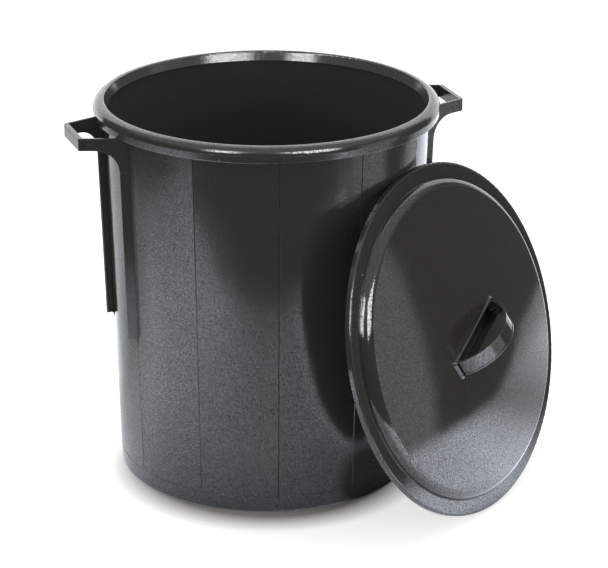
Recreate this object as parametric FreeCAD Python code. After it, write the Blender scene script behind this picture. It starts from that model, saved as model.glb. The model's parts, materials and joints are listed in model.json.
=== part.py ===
import FreeCAD, Part

import math
import os

from FreeCAD import Placement, Rotation, Vector

# An open head drum of moulded plastic, with two side handles and a loose lid
# that leans against it.  Millimetres, +Z up.  The origin is the middle of the
# drum's underside, on the drum's axis.  Azimuths are in degrees, counted from
# the front (-Y) towards +X.

# Drum
drum_height = 493.0            # floor to the crown of the rim
base_diameter = 383.0          # over the foot
wall_flare = 15.5              # the wall leans out by this, from the floor to the rim's lower edge
wall_thickness = 2.6
floor_thickness = 3.2
foot_height = 22.0             # plain round band below the panels
foot_edge_radius = 4.0
floor_corner_radius = 5.0      # inside, where the floor turns up into the foot

# The wall's panels
panel_count = 12
panel_inset = 0.3              # middle of a panel, inside the circle through its corners
first_line_azimuth = 4.4       # of the panel line next to the front
groove_width = 1.5             # the crease along each panel line
groove_depth = 0.8

# Rolled rim
rim_overhang = 13.0            # the roll stands out from the corners of the wall by this
rim_depth = 20.0               # crown to the lower edge of the turned-down lip
rim_skin = 2.8                 # thickness of the turned-down lip
rim_crown_radius = 10.5
rim_lip_draft = 0.8            # the lip leans in towards its lower edge
mouth_inset = 1.5              # the mouth's edge stands in from the corners of the wall by this
mouth_edge_radius = 2.0
band_height = 12.0             # the flared band inside the mouth
band_ledge = 3.2               # the band's lower edge stands in from the panels by this

# Side handles
left_handle_azimuth = -70.6    # midway between two panel lines
handle_gap_below_rim = 0.4
handle_overhang = 37.0         # the grip's outer face beyond the rim
grip_width = 67.0              # over the ends of the grip
grip_thickness = 5.5
handle_height = 16.0
cheek_thickness = 3.0          # arms, gussets and fins are one plate thick
gusset_radius = 28.0
fin_depth = 11.5
fin_length = 222.0             # below the gusset
fin_toe_radius = 8.0           # the fin's foot runs out into the wall
grip_corner_radius = 2.5
grip_line_drop = 2.6           # a fine line along the grip's outer face
grip_line_size = 0.7

# Lid
lid_thickness = 2.6
lid_clearance = 0.4            # around the rim when the lid is on
lid_lip_depth = 7.6
lid_edge_radius = 2.0
shoulder_gap = 2.0             # the shoulder drops inside the mouth by this
shoulder_height = 12.5
shoulder_width = 11.0
shoulder_bulge = 2.4
dome_rise = 19.5               # shoulder's top to the middle of the lid

# Bow handle, standing in a pocket in the middle of the lid
pocket_width = 23.6
pocket_depth = 13.5
pocket_corner_radius = 2.6
pocket_floor_radius = 2.4      # where the pocket's walls turn into its floor
pocket_end_gap = 2.5           # bow to the pocket's end, level with the middle of the lid
collar_height = 1.6            # the raised edge around the pocket, above the middle of the lid
collar_root = 2.4              # it starts this far below the middle of the lid
collar_spread = 3.2            # and is this much wider there, each side
bow_span = 114.0               # level with the middle of the lid
bow_rise = 43.0                # above the middle of the lid
bow_width = 22.0
bow_thickness = 3.4
bow_bead_width = 1.8           # raised edges along the strap
bow_bead_height = 0.8

# How the lid leans
lean_angle = 16.1              # off the vertical
lean_azimuth = 54.4            # the way the lid faces
lean_sidestep = 26.6           # the lid's middle lies to one side of that line
lean_clearance = 0.4
bow_turn = 63.0                # the bow's length, turned from the lid's upward line

# ----------------------------------------------------------------- sizes that follow
base_radius = base_diameter / 2
neck_radius = base_radius + wall_flare
rim_radius = neck_radius + rim_overhang
mouth_radius = neck_radius - mouth_inset
neck_height = drum_height - rim_depth
wall_top = drum_height - band_height
roll_middle = drum_height - rim_crown_radius
roll_start = mouth_radius + mouth_edge_radius
panel_angle = 360.0 / panel_count
lid_radius = rim_radius + lid_clearance + lid_thickness
shoulder_radius = mouth_radius - shoulder_gap
dome_radius = shoulder_radius - shoulder_width
lid_crown = shoulder_height + dome_rise
dome_sphere_radius = (dome_radius ** 2 + dome_rise ** 2) / (2 * dome_rise)
dome_centre = lid_crown - dome_sphere_radius
pocket_length = bow_span + 2 * pocket_end_gap
handle_reach = rim_radius + handle_overhang
handle_top = neck_height - handle_gap_below_rim
handle_underside = handle_top - handle_height
gusset_foot = handle_underside - gusset_radius

Z = Vector(0, 0, 1)


def polar(radius, azimuth, z=0.0):
    angle = math.radians(azimuth)
    return Vector(radius * math.sin(angle), -radius * math.cos(angle), z)


def corner_radius(z):
    """Radius of the circle through the wall's corners at a height."""
    return base_radius + (neck_radius - base_radius) * z / neck_height


def wall_radius(azimuth, z):
    """Distance from the drum's axis to the face of a panel."""
    half = math.radians(panel_angle / 2)
    corner = corner_radius(z)
    middle = corner - panel_inset
    bulge = middle - corner * math.cos(half)
    arc_radius = ((corner * math.sin(half)) ** 2 + bulge ** 2) / (2 * bulge)
    arc_centre = middle - arc_radius
    offset = math.radians((azimuth - first_line_azimuth) % panel_angle) - half
    across = arc_centre * math.sin(offset)
    return arc_centre * math.cos(offset) + math.sqrt(arc_radius ** 2 - across ** 2)


def line(start, end):
    return Part.makeLine(start, end)


def arc(start, middle, end):
    return Part.Arc(start, middle, end).toShape()


def quarter(start, end, centre):
    """Quarter turn from start to end about a centre."""
    radius = (start - centre).Length
    middle = centre + (start + end - centre * 2).normalize() * radius
    return arc(start, middle, end)


def section(r, z):
    """Point of a profile that turns about the Z axis."""
    return Vector(r, 0, z)


def turned(edges):
    return Part.Face(Part.Wire(edges)).revolve(Vector(0, 0, 0), Z, 360)


def polygon(points):
    return Part.Face(Part.makePolygon(points + points[:1]))


# ----------------------------------------------------------------- drum
def panel_outline(z, inward=0.0, creased=False):
    """The wall's outline at a height: one shallow arc for each panel."""
    radius = corner_radius(z) - inward
    half_crease = math.degrees(groove_width / 2 / radius) if creased else 0.0
    edges = []
    for i in range(panel_count):
        here = first_line_azimuth + i * panel_angle
        there = here + panel_angle
        edges.append(arc(polar(radius, here + half_crease, z),
                         polar(radius - panel_inset, here + panel_angle / 2, z),
                         polar(radius, there - half_crease, z)))
        if creased:
            crease = polar(radius - groove_depth, there, z)
            edges.append(line(polar(radius, there - half_crease, z), crease))
            edges.append(line(crease, polar(radius, there + half_crease, z)))
    return Part.Wire(edges)


def panelled_cone(low, high, inward=0.0, creased=False):
    outlines = [panel_outline(z, inward, creased) for z in (low, high)]
    return Part.makeLoft(outlines, True, True)


def make_wall():
    outside = panelled_cone(foot_height, wall_top, creased=True)
    inside = panelled_cone(foot_height, wall_top, inward=wall_thickness)
    return outside.cut(inside)


def floor_edge():
    """Radius where the flat floor ends and the foot's inside corner starts."""
    return corner_radius(foot_height) - wall_thickness - panel_inset - floor_corner_radius


def make_floor():
    return Part.makeCylinder(floor_edge(), floor_thickness)


def make_foot():
    """Round foot that the panelled wall stands on, turned in to the floor."""
    foot_radius = corner_radius(foot_height)
    edge = floor_edge()
    c = floor_corner_radius
    inner = edge + c
    floor = floor_thickness
    e = foot_edge_radius
    rounded = corner_radius(e)
    return turned([
        line(section(edge, 0), section(rounded - e, 0)),
        quarter(section(rounded - e, 0), section(rounded, e), section(rounded - e, e)),
        line(section(rounded, e), section(foot_radius, foot_height)),
        line(section(foot_radius, foot_height), section(inner, foot_height)),
        line(section(inner, foot_height), section(inner, floor + c)),
        quarter(section(inner, floor + c), section(edge, floor), section(edge, floor + c)),
        line(section(edge, floor), section(edge, 0)),
    ])


def make_mouth_band():
    """Flared band that lines the mouth above the wall, up to the mouth's rounded edge."""
    neck = corner_radius(wall_top)
    band_foot = neck - wall_thickness - panel_inset - band_ledge
    m = mouth_edge_radius
    top = drum_height
    under = top - rim_skin
    return turned([
        line(section(neck, wall_top), section(band_foot, wall_top)),
        line(section(band_foot, wall_top), section(mouth_radius, top - m)),
        quarter(section(mouth_radius, top - m), section(roll_start, top), section(roll_start, top - m)),
        line(section(roll_start, top), section(roll_start, under)),
        line(section(roll_start, under), section(neck, under)),
        line(section(neck, under), section(neck, wall_top)),
    ])


def make_rim_crown():
    """Upper half of the roll, from the mouth's edge to the widest point."""
    top = drum_height
    shoulder = rim_radius - rim_crown_radius
    under = top - rim_skin
    centre = section(shoulder, roll_middle)
    return turned([
        line(section(roll_start, under), section(roll_start, top)),
        line(section(roll_start, top), section(shoulder, top)),
        quarter(section(shoulder, top), section(rim_radius, roll_middle), centre),
        line(section(rim_radius, roll_middle), section(rim_radius - rim_skin, roll_middle)),
        quarter(section(rim_radius - rim_skin, roll_middle), section(shoulder, under), centre),
        line(section(shoulder, under), section(roll_start, under)),
    ])


def make_rim_lip():
    """Lip turned down from the roll, clear of the wall, with a round lower edge."""
    foot = rim_radius - rim_lip_draft
    inner_foot = foot - rim_skin
    end = neck_height + rim_skin / 2
    return turned([
        line(section(rim_radius, roll_middle), section(foot, end)),
        arc(section(foot, end), section(foot - rim_skin / 2, neck_height), section(inner_foot, end)),
        line(section(inner_foot, end), section(rim_radius - rim_skin, roll_middle)),
        line(section(rim_radius - rim_skin, roll_middle), section(rim_radius, roll_middle)),
    ])


# ----------------------------------------------------------------- side handles
# A handle is drawn on the +X side and then turned to its place.  Each arm, its
# gusset and its fin lie in one plane through a panel line of the wall.
def root(z, side):
    """Where the cheek's plane meets the wall: the panel line on that side."""
    half = math.radians(panel_angle / 2)
    radius = corner_radius(z)
    return Vector(radius * math.cos(half), side * radius * math.sin(half), z)


def cheek_frame(side):
    """Direction of an arm from the wall to the grip, and the arm's length."""
    grip_end = Vector(handle_reach, side * (grip_width - cheek_thickness) / 2, handle_top)
    run = grip_end - root(handle_top, side)
    return Vector(run).normalize(), run.Length


def cheek(side, outline):
    """Plate from an outline of (edge maker, points as distance out and height)."""
    out, _ = cheek_frame(side)

    def place(point):
        return root(point[1], side) + out * point[0]

    edges = [maker(*[place(p) for p in points]) for maker, points in outline]
    face = Part.Face(Part.Wire(edges))
    along = root(handle_top, side) - root(gusset_foot, side)
    normal = out.cross(along).normalize() * cheek_thickness
    plate = face.extrude(normal)
    plate.translate(normal * -0.5)
    return plate


def concave(start, end, corner):
    """Middle of the hollow quarter turn from start to end that faces its corner."""
    k = 1 - math.sqrt(0.5)
    return (corner[0] + k * (start[0] + end[0] - 2 * corner[0]),
            corner[1] + k * (start[1] + end[1] - 2 * corner[1]))


def make_grip():
    """Grip across the ends of the arms, with a fine line along its outer face."""
    out, _ = cheek_frame(1)
    inner_x = handle_reach - grip_thickness
    narrowing = out.y / out.x
    half = (grip_width - cheek_thickness) / 2 + cheek_thickness / 2 / out.x
    inner_half = half - grip_thickness * narrowing
    z = handle_underside
    grip = polygon([Vector(inner_x, -inner_half, z), Vector(handle_reach, -half, z),
                    Vector(handle_reach, half, z), Vector(inner_x, inner_half, z)])
    grip = grip.extrude(Z * handle_height)
    corners = [e for e in grip.Edges
               if e.BoundBox.XMin > handle_reach - 0.01 and e.BoundBox.YLength < 0.01]
    grip = grip.makeFillet(grip_corner_radius, corners)
    line_low = handle_top - grip_line_drop - grip_line_size
    return grip.cut(Part.makeBox(grip_line_size, grip_width, grip_line_size,
                                 Vector(handle_reach - grip_line_size, -grip_width / 2, line_low)))


def make_arm(side):
    """Arm from a panel line to the grip, with a hollow gusset under it."""
    _, length = cheek_frame(side)
    bite = -wall_thickness
    low, high = gusset_foot, handle_underside
    start, end = (fin_depth + gusset_radius, high), (fin_depth, low)
    outline = [(line, [(bite, low), (bite, handle_top)]),
               (line, [(bite, handle_top), (length, handle_top)]),
               (line, [(length, handle_top), (length, high)]),
               (line, [(length, high), start]),
               (arc, [start, concave(start, end, (fin_depth, high)), end]),
               (line, [end, (bite, low)])]
    grip_inner = handle_reach - grip_thickness
    grip_room = Part.makeBox(2 * grip_thickness, 2 * grip_width, 2 * handle_height,
                             Vector(grip_inner, -grip_width, handle_underside - handle_height / 2))
    return cheek(side, outline).cut(grip_room)


def make_fin(side):
    """Stiffening fin down a panel line, with a hollow toe."""
    bite = -wall_thickness
    high = gusset_foot
    low = high - fin_length
    t = fin_toe_radius
    start, end = (t, low), (0.0, low - t)
    outline = [(line, [(bite, high), (fin_depth, high)]),
               (line, [(fin_depth, high), (fin_depth, low)]),
               (line, [(fin_depth, low), start]),
               (arc, [start, concave(start, end, (0.0, low)), end]),
               (line, [end, (bite, low - t)]),
               (line, [(bite, low - t), (bite, high)])]
    return cheek(side, outline)


# ----------------------------------------------------------------- lid
# The lid is drawn lying flat: z = 0 is the upper face of its flange.
def dome_edge(drop):
    """Rim of the dome's upper face, or of its parallel below."""
    share = 1 - drop / dome_sphere_radius
    return section(dome_radius * share, dome_centre + (shoulder_height - dome_centre) * share)


def shoulder_arc(drop):
    """Three points of the shoulder's upper face, or of its parallel below."""
    foot = shoulder_radius - drop
    top = dome_edge(drop)
    middle = section((foot + top.x) / 2 + shoulder_bulge, shoulder_height * 0.55 - drop)
    return [section(foot, -drop), middle, top]


def ball(radius):
    """Ball about the dome's centre, with its poles away from the dome."""
    turn = Placement(Z * dome_centre, Rotation(Vector(1, 0, 0), 90))
    return Part.makeSphere(radius).transformed(turn.toMatrix())


def make_lid_lip():
    """Lip turned down around the lid, with a rounded upper edge."""
    e = lid_edge_radius
    inner = lid_radius - lid_thickness
    return turned([
        line(section(inner, -lid_lip_depth), section(lid_radius, -lid_lip_depth)),
        line(section(lid_radius, -lid_lip_depth), section(lid_radius, -e)),
        quarter(section(lid_radius, -e), section(lid_radius - e, 0), section(lid_radius - e, -e)),
        line(section(lid_radius - e, 0), section(inner, 0)),
        line(section(inner, 0), section(inner, -lid_lip_depth)),
    ])


def make_lid_flange():
    """Flat ring that lies on the rim when the lid is on."""
    t = lid_thickness
    outer = lid_radius - t
    return turned([
        line(section(shoulder_radius, 0), section(outer, 0)),
        line(section(outer, 0), section(outer, -t)),
        line(section(outer, -t), section(shoulder_radius - t, -t)),
        line(section(shoulder_radius - t, -t), section(shoulder_radius, 0)),
    ])


def make_lid_shoulder():
    """Bulged ring that steps up from the flange to the dome."""
    t = lid_thickness
    upper, lower = shoulder_arc(0.0), shoulder_arc(t)
    return turned([arc(*upper), line(upper[2], lower[2]), arc(*lower), line(lower[0], upper[0])])


def make_lid_dome():
    """Shallow dome inside the shoulder, open where the pocket goes through it."""
    t = lid_thickness
    low, high = shoulder_height - 2 * t, lid_crown + t
    slope = dome_radius / (shoulder_height - dome_centre)
    within = Part.makeCone(slope * (low - dome_centre), slope * (high - dome_centre), high - low,
                           Z * low)
    skin = within.common(ball(dome_sphere_radius)).cut(ball(dome_sphere_radius - t))
    return skin.cut(pocket_block())


def pocket_block():
    """The pocket's tub and its raised edge, before they are hollowed out."""
    t = lid_thickness
    floor = lid_crown - pocket_depth
    tub = slab(pocket_length + 2 * t, pocket_width + 2 * t, floor - t, lid_crown - collar_root,
               pocket_corner_radius + t)
    low = rounded_outline(pocket_length + 2 * collar_spread, pocket_width + 2 * collar_spread,
                          lid_crown - collar_root, pocket_corner_radius + collar_spread)
    high = rounded_outline(pocket_length, pocket_width, lid_crown + collar_height,
                           pocket_corner_radius)
    return tub.fuse(Part.makeLoft([low, high], True, True))


def make_lid_pocket():
    """Tub that the bow stands in, with a sloped collar raised above the dome."""
    t = lid_thickness
    floor = lid_crown - pocket_depth
    hollow = slab(pocket_length, pocket_width, floor, lid_crown + collar_height + t,
                  pocket_corner_radius)
    around_floor = [e for e in hollow.Edges if e.BoundBox.ZMax < floor + 0.01]
    return pocket_block().cut(hollow.makeFillet(pocket_floor_radius, around_floor))


def rounded_outline(length, width, z, radius):
    """Rectangle about the Z axis with rounded corners."""
    x, y = length / 2, width / 2
    r = radius
    points = [Vector(x - r, -y, z), Vector(x, r - y, z), Vector(x, y - r, z), Vector(x - r, y, z),
              Vector(r - x, y, z), Vector(-x, y - r, z), Vector(-x, r - y, z), Vector(r - x, -y, z)]
    centres = [Vector(x - r, r - y, z), Vector(x - r, y - r, z),
               Vector(r - x, y - r, z), Vector(r - x, r - y, z)]
    edges = []
    for i, centre in enumerate(centres):
        start, end = points[2 * i], points[2 * i + 1]
        edges.append(quarter(start, end, centre))
        edges.append(line(end, points[(2 * i + 2) % len(points)]))
    return Part.Wire(edges)


def slab(length, width, low, high, radius):
    """Block about the Z axis with rounded upright corners."""
    return Part.Face(rounded_outline(length, width, low, radius)).extrude(Z * (high - low))


def make_lid_bow():
    """Arched strap with raised edges, standing in the pocket."""
    half = bow_span / 2
    radius = (half ** 2 + bow_rise ** 2) / (2 * bow_rise)
    centre = Vector(0, 0, lid_crown + bow_rise - radius)

    def disc(r, width):
        return Part.makeCylinder(r, width, centre + Vector(0, -width / 2, 0), Vector(0, 1, 0))

    strap = disc(radius, bow_width).cut(disc(radius - bow_thickness, bow_width))
    channel_width = bow_width - 2 * bow_bead_width
    channel = disc(radius + 1, channel_width).cut(disc(radius - bow_bead_height, channel_width))
    floor = lid_crown - pocket_depth
    above = Part.makeBox(2 * bow_span, 2 * bow_width, 2 * radius, Vector(-bow_span, -bow_width, floor))
    return strap.cut(channel).common(above).cut(make_lid_pocket())


def lip_gap(distance, facing, aside):
    """Least gap between the leaning lid's lip and the wall, and the lid's height."""
    lean = math.radians(lean_angle)
    centre_height = lid_radius * math.cos(lean) + lid_lip_depth * math.sin(lean)
    gaps = []
    for degrees in range(-60, 61):
        angle = math.radians(degrees)
        up = lid_radius * math.cos(angle)
        z = centre_height + up * math.cos(lean) - lid_lip_depth * math.sin(lean)
        back = up * math.sin(lean) + lid_lip_depth * math.cos(lean)
        across = lean_sidestep + lid_radius * math.sin(angle)
        point = facing * (distance - back) + aside * across
        azimuth = math.degrees(math.atan2(point.x, -point.y))
        gaps.append(point.Length - wall_radius(azimuth, z))
    return min(gaps), centre_height


def lid_placement():
    """Lean the lid: its lip stands on the floor and its upper edge rests on the wall."""
    lean = math.radians(lean_angle)
    turn = math.radians(bow_turn)
    facing = polar(1.0, lean_azimuth)
    aside = Z.cross(facing)
    normal = facing * math.cos(lean) + Z * math.sin(lean)
    upward = Z * math.cos(lean) - facing * math.sin(lean)
    bow_axis = upward * math.cos(turn) + aside * math.sin(turn)
    distance = 2 * rim_radius
    for _ in range(12):
        gap, centre_height = lip_gap(distance, facing, aside)
        distance -= gap - lean_clearance
    centre = facing * distance + aside * lean_sidestep + Z * centre_height
    return Placement(centre, Rotation(bow_axis, normal.cross(bow_axis), normal, "ZXY"))


# ----------------------------------------------------------------- assembly
def make_parts():
    parts = {"drum_wall": make_wall(), "drum_floor": make_floor(), "foot_ring": make_foot(),
             "mouth_band": make_mouth_band(), "rim_crown": make_rim_crown(),
             "rim_lip": make_rim_lip()}

    # The right handle is the left one turned half round, so its front is the other side.
    wall_outside = panelled_cone(foot_height, wall_top, creased=True)
    for hand, azimuth, front in (("left", left_handle_azimuth, 1),
                                 ("right", left_handle_azimuth + 180, -1)):
        turn = Placement(Vector(), Rotation(Z, azimuth - 90)).toMatrix()
        pieces = {"grip": make_grip(),
                  "front_arm": make_arm(front), "rear_arm": make_arm(-front),
                  "front_fin": make_fin(front), "rear_fin": make_fin(-front)}
        for name, blank in pieces.items():
            parts[hand + "_" + name] = blank.transformed(turn).cut(wall_outside)

    lean = lid_placement().toMatrix()
    for name, piece in (("lip", make_lid_lip()), ("flange", make_lid_flange()),
                        ("shoulder", make_lid_shoulder()), ("dome", make_lid_dome()),
                        ("pocket", make_lid_pocket()), ("bow_handle", make_lid_bow())):
        parts["lid_" + name] = piece.transformed(lean)
    return parts


def single_solid(name, shape):
    solids = shape.Solids
    print("%-18s solids %d  volume %.0f mm3  valid %s" % (name, len(solids), shape.Volume,
                                                       shape.isValid()))
    return solids[0]


os.makedirs("parts", exist_ok=True)
for part_name, part_shape in make_parts().items():
    single_solid(part_name, part_shape).exportStep("parts/%s.step" % part_name)
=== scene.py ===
import json
import math

import bpy
from mathutils import Matrix, Vector


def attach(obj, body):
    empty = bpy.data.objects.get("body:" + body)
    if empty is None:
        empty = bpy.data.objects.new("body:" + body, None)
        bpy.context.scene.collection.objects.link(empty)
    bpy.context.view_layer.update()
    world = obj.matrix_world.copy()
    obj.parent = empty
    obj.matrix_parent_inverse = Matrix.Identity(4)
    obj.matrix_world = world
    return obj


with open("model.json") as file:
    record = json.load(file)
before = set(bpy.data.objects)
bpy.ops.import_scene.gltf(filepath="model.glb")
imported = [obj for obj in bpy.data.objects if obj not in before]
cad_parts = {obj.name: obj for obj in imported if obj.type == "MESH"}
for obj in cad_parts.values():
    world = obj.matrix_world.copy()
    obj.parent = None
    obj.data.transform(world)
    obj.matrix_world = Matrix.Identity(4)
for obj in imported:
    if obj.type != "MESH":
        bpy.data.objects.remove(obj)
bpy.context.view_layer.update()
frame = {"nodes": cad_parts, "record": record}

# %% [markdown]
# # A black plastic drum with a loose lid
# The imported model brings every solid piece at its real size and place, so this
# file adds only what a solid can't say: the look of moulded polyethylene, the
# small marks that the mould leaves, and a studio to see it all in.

scene = bpy.context.scene


# %% [markdown]
# ## Colours and nodes
# A colour is written as a designer picks it, in sRGB hex, and turned to linear
# light once. One helper adds any node with its settings and its links, so each
# material below reads as a list of what it is made of.

# %% Colours and nodes
def linear(hex_colour):
    channels = [int(hex_colour[i:i + 2], 16) / 255 for i in (1, 3, 5)]
    return [c / 12.92 if c <= 0.04045 else ((c + 0.055) / 1.055) ** 2.4 for c in channels] + [1.0]


def add_node(tree, kind, inputs=(), **settings):
    """Add a node with its settings. Its inputs are named in a dict, or listed in order, and
    each is a value, a socket, or a node, whose first output in use is linked."""
    node = tree.nodes.new(kind)
    for name, value in settings.items():
        setattr(node, name, value)
    for name, value in inputs.items() if isinstance(inputs, dict) else enumerate(inputs):
        if isinstance(value, bpy.types.Node):
            value = next(socket for socket in value.outputs if socket.enabled)
        if isinstance(value, bpy.types.NodeSocket):
            tree.links.new(value, node.inputs[name])
        else:
            node.inputs[name].default_value = value
    return node


def new_material(name):
    material = bpy.data.materials.new(name)
    material.use_nodes = True
    material.node_tree.nodes.clear()
    return material, material.node_tree


print("black polyethylene in linear light", [round(c, 3) for c in linear("#302F2C")[:3]])

# %% [markdown]
# ## Moulded polyethylene
# The drum and its lid are injection moulded from black polyethylene. The carbon
# black makes the body almost lightless, so the eye reads the piece by what its
# semi-gloss skin mirrors. Polyethylene's refractive index is about 1.51. The
# skin has a fine grain from the mould, about half a millimetre across, whose pits
# swallow part of the shine and give it its salt-and-pepper look. It has wide
# faint waves where thick and thin places cooled at different speeds. On the
# drum, the melt that ran down the mould from the rim left fine upright streaks.
# Every edge of the mould is broken by about half a millimetre. A chamfer on each
# edge would need new meshes, so a bevel of the normals shows it. The inside skin
# was against the core, and on the drum it is painted a lighter grey, painted
# light that stands in for more light inside the drum.
#
# A ramp is four numbers here: where it starts and ends, and its value at each.

# %% Moulded polyethylene
GRAIN = 0.0015         # metres, drawn coarser than the real half millimetre so that it shows
COOLING_WAVE = 0.06    # metres from one faint wave to the next
STREAK = 0.006         # metres across a flow streak
STREAK_STRETCH = 0.03  # a streak is this much finer across than along
BROKEN_EDGE = 0.0007   # metres
SPECKS = (0.42, 0.62, 0.0, 1.0)    # ramp of the speck colour over the grain's height
SHINE = (0.38, 0.62, 0.86, 0.16)   # ramp of the specular level over the grain's height
INSIDE = (-0.3, -0.6, 0.0, 1.0)    # ramp of the painted inside light over how far a face looks outwards
WAVE_SPAN = (0.3, 0.7)             # the noise of the waves stays about within this
UNEVEN = 0.2                       # share by which the waves change the roughness
POLYETHYLENE_IOR = 1.51


def facing_axis(tree):
    """1 where a surface faces the drum's axis, 0 where it faces away from it."""
    geometry = add_node(tree, "ShaderNodeNewGeometry").outputs
    outward = add_node(tree, "ShaderNodeVectorMath", [geometry["Position"], (1.0, 1.0, 0.0)],
                       operation="MULTIPLY")
    outward = add_node(tree, "ShaderNodeVectorMath", [outward], operation="NORMALIZE")
    towards = add_node(tree, "ShaderNodeVectorMath", [outward, geometry["Normal"]],
                       operation="DOT_PRODUCT")
    return add_node(tree, "ShaderNodeMapRange", [towards, *INSIDE])


def moulded_polyethylene(name, body, speck, roughness, grain_depth, wave_depth, streak_depth=0.0,
                         painted_inside_light=None):
    material, tree = new_material(name)
    place = add_node(tree, "ShaderNodeTexCoord").outputs["Object"]
    grain = add_node(tree, "ShaderNodeTexNoise",
                     {"Vector": place, "Scale": 1 / GRAIN, "Detail": 2.0})
    waves = add_node(tree, "ShaderNodeTexNoise",
                     {"Vector": place, "Scale": 1 / COOLING_WAVE, "Detail": 1.0})
    relief = [(waves, wave_depth), (grain, grain_depth)]
    if streak_depth:
        run = add_node(tree, "ShaderNodeMapping",
                       {"Vector": place, "Scale": (1.0, 1.0, STREAK_STRETCH)})
        streaks = add_node(tree, "ShaderNodeTexNoise",
                           {"Vector": run, "Scale": 1 / STREAK, "Detail": 2.0})
        relief.insert(1, (streaks, streak_depth))
    normal = add_node(tree, "ShaderNodeBevel", {"Radius": BROKEN_EDGE}, samples=4)
    for height, depth in relief:
        normal = add_node(tree, "ShaderNodeBump", {"Height": height, "Distance": depth,
                                                   "Strength": 1.0, "Normal": normal})
    specks = add_node(tree, "ShaderNodeMapRange", [grain, *SPECKS])
    colour = add_node(tree, "ShaderNodeMix", {0: specks, 6: linear(body), 7: linear(speck)},
                      data_type="RGBA")
    # Faces that look towards the axis get the lighter grey: painted light inside the drum.
    if painted_inside_light:
        colour = add_node(tree, "ShaderNodeMix",
                          {0: facing_axis(tree), 6: colour, 7: linear(painted_inside_light)},
                          data_type="RGBA")
    patchy = add_node(tree, "ShaderNodeMapRange", [waves, *WAVE_SPAN, roughness * (1 - UNEVEN),
                                                   roughness * (1 + UNEVEN)])
    pits = add_node(tree, "ShaderNodeMapRange", [grain, *SHINE])
    skin = add_node(tree, "ShaderNodeBsdfPrincipled",
                    {"Base Color": colour, "Roughness": patchy, "IOR": POLYETHYLENE_IOR,
                     "Specular IOR Level": pits, "Normal": normal})
    add_node(tree, "ShaderNodeOutputMaterial", {"Surface": skin})
    print("material", name, "roughness", roughness)
    return material


# %% [markdown]
# ## Two skins
# The lid's skin is smoother than the drum's, as from a better polished mould, so
# it has half the roughness and shallower relief. The lighter grey inside, painted
# light, is on the drum only. Depths are in metres.

# %% Two skins
# The third colour is the lighter grey painted on the drum's inside, painted light.
BODY, SPECK, PAINTED_INSIDE_LIGHT = "#302F2C", "#3B3A3A", "#484743"

drum_skin = moulded_polyethylene("moulded polyethylene, drum", BODY, SPECK, roughness=0.14,
                                 grain_depth=0.00006, wave_depth=0.0004, streak_depth=0.00006,
                                 painted_inside_light=PAINTED_INSIDE_LIGHT)
lid_skin = moulded_polyethylene("moulded polyethylene, lid", BODY, SPECK, roughness=0.07,
                                grain_depth=0.00004, wave_depth=0.0002)
bodies = frame["record"]["behaviour"]["bodies"]
for body, skin in (("drum", drum_skin), ("lid", lid_skin)):
    for name in bodies[body]:
        mesh = frame["nodes"][name].data
        mesh.materials.clear()
        mesh.materials.append(skin)
print("dressed", {body: len(nodes) for body, nodes in bodies.items()})

# %% [markdown]
# ## Sprue pips
# Where the melt entered the mould a small pip is left when the sprue is broken
# off: one on the rim's lower edge near the front, one on the lid's flange by the
# foot of the shoulder. Each is a low button with a torn stub in its middle, so a
# profile of rings is turned round the pip's axis and made a little ragged, and
# its foot is sunk so that no gap shows.

# %% Sprue pips
PIP_PROFILE = [(1.0, 0.0), (0.94, 0.3), (0.72, 0.52), (0.42, 0.6), (0.34, 0.85), (0.16, 1.0),
               (0.0, 1.02)]   # radius and height, as shares of the pip's own
PIP_SIDES = 20
PIP_RAGGED = 0.06             # share of the radius
PIP_LOBES, PIP_TWIST = 3, 5   # how many ragged lobes, and radians they turn from foot to tip
PIP_SUNK = 0.1                # share of the height


def new_piece(name, points, faces, body, material):
    mesh = bpy.data.meshes.new(name)
    mesh.from_pydata([tuple(p) for p in points], [], faces)
    mesh.materials.append(material)
    piece = bpy.data.objects.new(name, mesh)
    scene.collection.objects.link(piece)
    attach(piece, body)
    print(name, "rides on", body, "with", len(faces), "faces")
    return piece


def sprue_pip(name, place, outward, radius, height, body, material):
    axis = Vector(outward).normalized()
    side = axis.orthogonal().normalized()
    other = axis.cross(side)
    points, faces = [], []
    for r, h in PIP_PROFILE[:-1]:
        for i in range(PIP_SIDES):
            a = 2 * math.pi * i / PIP_SIDES
            out = (side * math.cos(a) + other * math.sin(a)) * r * radius
            ragged = 1.0 + PIP_RAGGED * math.sin(PIP_LOBES * a + PIP_TWIST * h)
            points.append(Vector(place) + out * ragged + axis * (h - PIP_SUNK) * height)
    points.append(Vector(place) + axis * (PIP_PROFILE[-1][1] - PIP_SUNK) * height)
    rings = len(PIP_PROFILE) - 1
    for ring in range(rings - 1):
        for i in range(PIP_SIDES):
            j = (i + 1) % PIP_SIDES
            a, b = ring * PIP_SIDES, (ring + 1) * PIP_SIDES
            faces.append((a + i, a + j, b + j, b + i))
    last = (rings - 1) * PIP_SIDES
    tip = len(points) - 1
    faces += [(last + i, last + (i + 1) % PIP_SIDES, tip) for i in range(PIP_SIDES)]
    faces.append(tuple(range(PIP_SIDES - 1, -1, -1)))
    return new_piece(name, points, faces, body, material)


sprue_pip("rim_sprue_pip", place=(-0.0569, -0.2119, 0.4762), outward=(-0.257, -0.961, -0.105),
          radius=0.0019, height=0.0012, body="drum", material=drum_skin)
sprue_pip("lid_sprue_pip", place=(0.1157, -0.2473, 0.3426), outward=(0.781, -0.559, 0.277),
          radius=0.0022, height=0.0014, body="lid", material=lid_skin)

# %% [markdown]
# ## Lines on the mouth's band
# The mould's inner core is built up from sectors, and their joints leave fine
# raised lines down the mouth's flared band, one at each crease of the wall. Each
# line is a low ridge with a foot sunk in the band.

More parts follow.
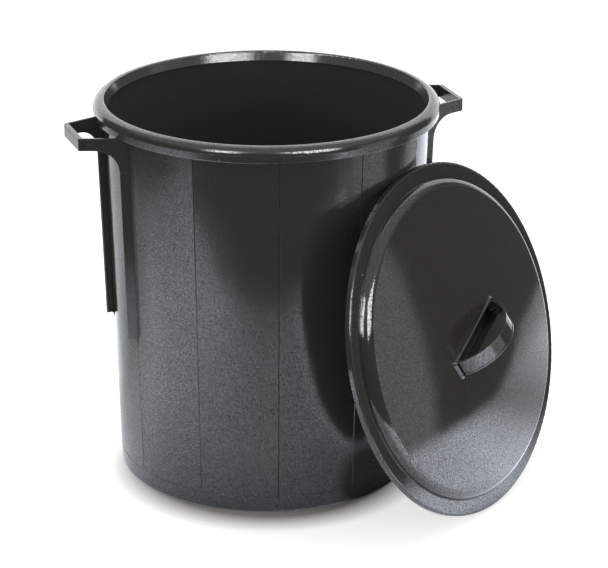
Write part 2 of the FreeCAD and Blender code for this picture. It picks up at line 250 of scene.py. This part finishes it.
# %% Lines on the mouth's band
BAND_LOW, BAND_HIGH = (0.2010, 0.4812), (0.2052, 0.4906)   # radius and height along the band
LINE_HALF_WIDTH, LINE_HEIGHT, LINE_SUNK = 0.0006, 0.0005, 0.0002
FIRST_LINE, LINES = 4.4, 12                                # degrees from the front, and how many


def band_lines(name, body, material):
    points, faces = [], []
    for i in range(LINES):
        a = math.radians(FIRST_LINE + i * 360 / LINES)
        out = Vector((math.sin(a), -math.cos(a), 0.0))
        along = Vector((math.cos(a), math.sin(a), 0.0))
        first = len(points)
        for r, z in (BAND_LOW, BAND_HIGH):
            foot = out * (r + LINE_SUNK) + Vector((0, 0, z))
            points += [foot - along * LINE_HALF_WIDTH, foot - out * (LINE_HEIGHT + LINE_SUNK),
                       foot + along * LINE_HALF_WIDTH]
        a0, a1, a2, b0, b1, b2 = range(first, first + 6)
        faces += [(a0, a1, b1, b0), (a1, a2, b2, b1), (a0, b0, b2, a2), (a0, a2, a1), (b0, b1, b2)]
    return new_piece(name, points, faces, body, material)


band_lines("mouth_band_lines", "drum", drum_skin)

# %% [markdown]
# ## Matt studio paper
# The part stands on a sheet of pale paper, as on a studio table. Seen directly,
# the sheet is lifted to white, less so right at the drum's foot, where the paper
# is darkened too: a painted shadow that deepens the close shadow. A glossy black
# wall mirrors the floor around it, so the paper gets a glow seen only in
# reflections, painted reflections of lamplight: bright to the left, to the right
# by the lid and behind, and dark just in front, with a painted shade in the gap
# between drum and lid. Each bright patch is a product of ramps along X or Y, in
# metres, and the patches are added up.

# %% Matt studio paper
# A painted shadow at the foot: inside this ring, shifted to the front, the lift to white falls and
# the paper is darkened.
FOOT_SHADOW_MIDDLE = (0.003, -0.04, 0.0)
FOOT_SHADOW_FROM, FOOT_SHADOW_TO = 0.162, 0.208
LIFT_AT_FOOT, LIFT = 0.02, 0.60
GAP_MIDDLE = (0.19, -0.12, 0.0)   # middle of a painted shade in the glow, where drum and lid shade the floor
GAP_FROM, GAP_TO = 0.08, 0.11
# The second paper colour is the paper darkened by painted shadow at the foot.
PAPER, PAPER_IN_PAINTED_SHADOW = "#F4F4F2", "#A8A39F"
LIFT_TINT, GLOW_TINT = "#FFFFFF", "#E6EFFF"
FRONT_HALF = ("Y", 0.15, -0.1, 0.0, 1.0)   # axis, start, end, and the glow at each
PATCHES = {"left": [("X", -0.05, -0.45, 0.0, 1.3), ("X", -1.15, -0.7, 0.0, 1.0), FRONT_HALF],
           "right": [("X", 0.22, 0.42, 0.0, 2.9), ("X", 1.02, 0.8, 0.0, 1.0),
                     ("Y", 0.16, 0.0, 0.0, 1.0), FRONT_HALF],
           "front": [("X", 1.1, 0.85, 0.1, 0.7), FRONT_HALF],
           "back": [("Y", 0.05, 0.5, 0.0, 1.6), ("X", -0.5, -0.3, 0.35, 1.0),
                    ("X", 1.3, 0.95, 0.2, 1.0)]}

paper, paper_tree = new_material("matt studio paper")
spot = add_node(paper_tree, "ShaderNodeNewGeometry").outputs["Position"]
across = add_node(paper_tree, "ShaderNodeSeparateXYZ", [spot]).outputs
# The glow is painted reflection: the paper glows only for glossy rays, in patches that stand in
# for lamplight.
glow = 0.0
for ramps in PATCHES.values():
    patch = 1.0
    for axis, *ends in ramps:
        ramp = add_node(paper_tree, "ShaderNodeMapRange", [across[axis], *ends])
        patch = add_node(paper_tree, "ShaderNodeMath", [patch, ramp], operation="MULTIPLY")
    glow = add_node(paper_tree, "ShaderNodeMath", [glow, patch], operation="ADD")
# A painted shade in the glow, fixed to the floor between drum and lid.
from_gap = add_node(paper_tree, "ShaderNodeVectorMath", [spot, GAP_MIDDLE], operation="DISTANCE")
outside_painted_gap_shade = add_node(paper_tree, "ShaderNodeMapRange", [from_gap, GAP_FROM, GAP_TO, 0.0, 1.0])
glow = add_node(paper_tree, "ShaderNodeMath", [glow, outside_painted_gap_shade], operation="MULTIPLY")
print("glow of the paper from", len(PATCHES), "patches")

# %% [markdown]
# ## What is seen of the paper
# The paper itself is matt, and takes the lamps' light and the part's shadow, with
# its colour darkened at the foot as painted shadow. To that is added the lift to
# white where the paper is seen directly or through glass, lowered at the foot as
# painted shadow, and the uneven glow where it is seen in a reflection, a painted
# reflection of lamplight. Neither adds light to the matt surfaces around it. Lamps
# are cooler than the paper in shade, so the glow is a little blue.

# %% What is seen of the paper
# Painted shadow at the foot: the lift and the paper's colour fall inside the ring.
reach = add_node(paper_tree, "ShaderNodeVectorMath", [spot, FOOT_SHADOW_MIDDLE],
                 operation="DISTANCE")
lift = add_node(paper_tree, "ShaderNodeMapRange",
                [reach, FOOT_SHADOW_FROM, FOOT_SHADOW_TO, LIFT_AT_FOOT, LIFT])
painted_foot_shadow = add_node(paper_tree, "ShaderNodeMapRange",
                   [reach, FOOT_SHADOW_FROM, FOOT_SHADOW_TO, 1.0, 0.0])
rays = add_node(paper_tree, "ShaderNodeLightPath").outputs
seen = add_node(paper_tree, "ShaderNodeMath", [rays["Is Camera Ray"], rays["Is Transmission Ray"]],
                operation="MAXIMUM")
lifted = add_node(paper_tree, "ShaderNodeMath", [lift, seen], operation="MULTIPLY")
mirrored = add_node(paper_tree, "ShaderNodeMath", [glow, rays["Is Glossy Ray"]],
                    operation="MULTIPLY")
strength = add_node(paper_tree, "ShaderNodeMath", [lifted, mirrored], operation="ADD")
tint = add_node(paper_tree, "ShaderNodeMix",
                {0: rays["Is Glossy Ray"], 6: linear(LIFT_TINT), 7: linear(GLOW_TINT)},
                data_type="RGBA")
sheet_colour = add_node(paper_tree, "ShaderNodeMix",
                        {0: painted_foot_shadow, 6: linear(PAPER), 7: linear(PAPER_IN_PAINTED_SHADOW)},
                        data_type="RGBA")
matt = add_node(paper_tree, "ShaderNodeBsdfDiffuse", {"Color": sheet_colour})
bright = add_node(paper_tree, "ShaderNodeEmission", {"Color": tint, "Strength": strength})
both = add_node(paper_tree, "ShaderNodeAddShader", [matt, bright])
add_node(paper_tree, "ShaderNodeOutputMaterial", {"Surface": both})
print("material", paper.name, "with", len(paper_tree.nodes), "nodes")

# %% [markdown]
# ## Floor
# The sheet is cut so that it ends in front and at the right front, where the
# wall of the drum then mirrors the dim room in place of paper.

# %% Floor
SHEET_OUTLINE = [(-1.18, -0.78), (0.98, -0.78), (0.98, 0.12), (1.6, 0.7), (1.6, 3.2), (-1.18, 3.2)]

sheet = bpy.data.meshes.new("paper sheet")
sheet.from_pydata([(x, y, 0) for x, y in SHEET_OUTLINE], [], [tuple(range(len(SHEET_OUTLINE)))])
sheet.materials.append(paper)
floor = bpy.data.objects.new("paper_floor", sheet)
scene.collection.objects.link(floor)
print("floor with", len(SHEET_OUTLINE), "corners")

# %% [markdown]
# ## Room
# The room lights the part evenly, and is white behind it. A glossy black skin
# takes its whole drawing from what it mirrors, so in reflections the room has a
# white wall behind the part, a pale screen at its right and a lit ceiling, and is
# dim elsewhere. Each wall spans two directions, counted in degrees from the front
# towards the right, and fades with height.

# %% Room
WHITE_WALL_FROM, WHITE_WALL_TO = 136, 224
SCREEN_FROM, SCREEN_TO = 62, 94
EDGE_BLUR = 0.8                        # degrees over which a wall's edge fades
# Ramps over the height of a direction, which is 0 at the horizon and 1 straight up.
WHITE_WALL_FOOT = (0.0, 0.3, 1.8, 1.6)
WHITE_WALL_TOP = (0.6, 0.9, 1.0, 0.4)
SCREEN_TOP = (0.25, 0.45, 1.0, 0.0)
CEILING = (0.4, 0.7, 0.12, 0.9)        # from the dim room up to the lit ceiling
ROOM_LIGHT = 0.5
SEEN_WHITE = 1.0

world = bpy.data.worlds.new("white studio")
scene.world = world
world.use_nodes = True
sky = world.node_tree
sky.nodes.clear()
direction = add_node(sky, "ShaderNodeTexCoord").outputs["Generated"]
height = add_node(sky, "ShaderNodeSeparateXYZ", [direction]).outputs["Z"]
flat = add_node(sky, "ShaderNodeVectorMath", [direction, (1.0, 1.0, 0.0)], operation="MULTIPLY")
level_direction = add_node(sky, "ShaderNodeVectorMath", [flat], operation="NORMALIZE")


def wall(start, end, *fades):
    """A wall between two directions, dimmed by ramps over the height."""
    middle, half = math.radians((start + end) / 2), (end - start) / 2
    facing = (math.sin(middle), -math.cos(middle), 0.0)
    aligned = add_node(sky, "ShaderNodeVectorMath", [level_direction, facing],
                       operation="DOT_PRODUCT")
    outer, inner = (math.cos(math.radians(half + blur)) for blur in (EDGE_BLUR, -EDGE_BLUR))
    shape = add_node(sky, "ShaderNodeMapRange", [aligned, outer, inner, 0.0, 1.0])
    for fade in fades:
        fade = add_node(sky, "ShaderNodeMapRange", [height, *fade])
        shape = add_node(sky, "ShaderNodeMath", [shape, fade], operation="MULTIPLY")
    return shape


reflected = add_node(sky, "ShaderNodeMapRange", [height, *CEILING])
for shape in (wall(WHITE_WALL_FROM, WHITE_WALL_TO, WHITE_WALL_FOOT, WHITE_WALL_TOP),
              wall(SCREEN_FROM, SCREEN_TO, SCREEN_TOP)):
    reflected = add_node(sky, "ShaderNodeMath", [reflected, shape], operation="ADD")
rays = add_node(sky, "ShaderNodeLightPath").outputs
unseen = add_node(sky, "ShaderNodeMix", {0: rays["Is Glossy Ray"], 2: ROOM_LIGHT, 3: reflected})
seen = add_node(sky, "ShaderNodeMath", [rays["Is Camera Ray"], rays["Is Transmission Ray"]],
                operation="MAXIMUM")
strength = add_node(sky, "ShaderNodeMix", {0: seen, 2: unseen, 3: SEEN_WHITE})
light = add_node(sky, "ShaderNodeBackground", {"Color": linear("#FFFFFF"), "Strength": strength})
add_node(sky, "ShaderNodeOutputWorld", {"Surface": light})
print("world", world.name, "with", len(sky.nodes), "nodes")

# %% [markdown]
# ## Lamps
# A strip light overhead and two broad fills in front light the part evenly, and
# are too soft to be seen in a reflection. Two white boards in front are the
# opposite: they are seen only in reflections, where they draw the bright lines on
# the rim and inside the mouth, and add nothing to the light on the part. A size
# is in metres, and a radiance says how bright the lamp's face is.

# %% Lamps
LOOKED_AT = Vector((0.05, 0.0, 0.25))   # the middle of drum and lid together
LAMP_DISTANCE = 2.5
FILLS = {"fill, left front": -45, "fill, right front": 50}     # degrees to the right
FILL_DEGREES_UP, FILL_SIZE, FILL_RADIANCE = 12, (1.2, 0.8), 2.4
BOARDS = {"board, right front": (29, (1.3, 0.9), 15.0),        # degrees, size and radiance
          "board, left front": (-30, (0.75, 1.0), 14.0)}
BOARD_DEGREES_UP = 33


def area_lamp(name, size, radiance, place, away):
    """A lamp that faces against the direction away."""
    lamp = bpy.data.lights.new(name, "AREA")
    lamp.shape = "RECTANGLE"
    lamp.size, lamp.size_y = size
    lamp.energy = radiance * math.pi * size[0] * size[1]
    holder = bpy.data.objects.new(name, lamp)
    holder.location = place
    holder.rotation_euler = Vector(away).to_track_quat("Z", "Y").to_euler()
    holder.visible_camera = False
    scene.collection.objects.link(holder)
    print(name, size, "at", tuple(round(v, 2) for v in place))
    return holder


def lamp_in_front(name, degrees_right, degrees_up, size, radiance):
    a, e = math.radians(degrees_right), math.radians(degrees_up)
    away = Vector((math.sin(a) * math.cos(e), -math.cos(a) * math.cos(e), math.sin(e)))
    return area_lamp(name, size, radiance, LOOKED_AT + away * LAMP_DISTANCE, away)


strip = area_lamp("strip light overhead", size=(1.8, 0.3), radiance=20.0,
                  place=(0.1, 0.25, 3.0), away=(0, 0.05, 1))
strip.visible_glossy = False
for name, degrees in FILLS.items():
    fill = lamp_in_front(name, degrees, FILL_DEGREES_UP, FILL_SIZE, FILL_RADIANCE)
    fill.visible_glossy = False
for name, (degrees, size, radiance) in BOARDS.items():
    board = lamp_in_front(name, degrees, BOARD_DEGREES_UP, size, radiance)
    board.visible_diffuse = False

# %% [markdown]
# ## Camera
# A long lens from a little above, as for a catalogue picture. The camera's three
# axes are worked out from its yaw, pitch and roll, in radians, and set as a
# matrix, which leaves no doubt about the order of the turns.

# %% Camera
CAMERA_DISTANCE, CAMERA_HEIGHT = 3.2566, 1.4755
CAMERA_YAW, CAMERA_PITCH, CAMERA_ROLL = 0.0149, 0.36335, 0.0044
LENS, SENSOR_WIDTH = 158.47, 36.0      # millimetres

lens = bpy.data.cameras.new("catalogue camera")
lens.sensor_width = SENSOR_WIDTH
lens.lens = LENS
lens.clip_end = 50.0
camera = bpy.data.objects.new("catalogue camera", lens)
forward = Vector((math.sin(CAMERA_YAW) * math.cos(CAMERA_PITCH),
                  math.cos(CAMERA_YAW) * math.cos(CAMERA_PITCH), -math.sin(CAMERA_PITCH)))
level = Vector((math.cos(CAMERA_YAW), -math.sin(CAMERA_YAW), 0.0))
above = level.cross(forward)
right = level * math.cos(CAMERA_ROLL) + above * math.sin(CAMERA_ROLL)
up = right.cross(forward)
camera.matrix_world = Matrix(((right.x, up.x, -forward.x, 0.0),
                              (right.y, up.y, -forward.y, -CAMERA_DISTANCE),
                              (right.z, up.z, -forward.z, CAMERA_HEIGHT),
                              (0.0, 0.0, 0.0, 1.0)))
scene.collection.objects.link(camera)
scene.camera = camera
scene.view_settings.view_transform = "Standard"
print("camera at", tuple(round(v, 3) for v in camera.location))
